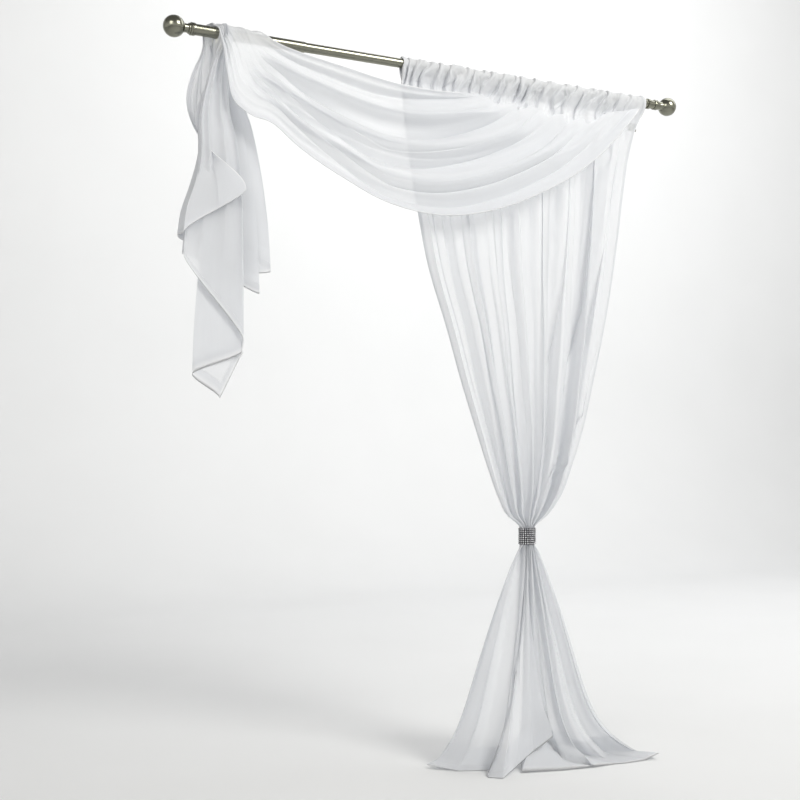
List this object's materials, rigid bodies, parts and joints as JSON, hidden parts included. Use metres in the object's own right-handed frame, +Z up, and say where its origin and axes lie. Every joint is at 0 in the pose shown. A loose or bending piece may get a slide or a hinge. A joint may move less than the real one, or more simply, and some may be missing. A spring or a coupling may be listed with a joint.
{
  "type": "voile curtain and swag on a curtain rod",
  "caption": "Sheer voile panel tied in at the waist, with a scarf swag and cascading tail draped over a metal rod between wall brackets.",
  "frame": {"origin": "middle of the left wall plate's back face", "axes": "+X along the rod to the right, -Y out from the wall into the room, +Z up"},
  "size_m": [1.823, 0.2821, 2.211],
  "materials": {
    "voile": "sheer plain weave",
    "satin_nickel": "satin nickel with a warm tint",
    "rhinestone": "faceted stones in silver settings"
  },
  "bodies": {
    "root": {"curtain_panel": "voile", "scarf": "voile", "tie_band": "rhinestone", "rod_outer": "satin_nickel", "rod_inner": "satin_nickel", "finial_left": "satin_nickel", "finial_right": "satin_nickel", "collar_left": "satin_nickel", "collar_right": "satin_nickel", "wall_plate_left": "satin_nickel", "wall_plate_right": "satin_nickel", "bracket_arm_left": "satin_nickel", "bracket_arm_right": "satin_nickel"}
  },
  "joints": []
}
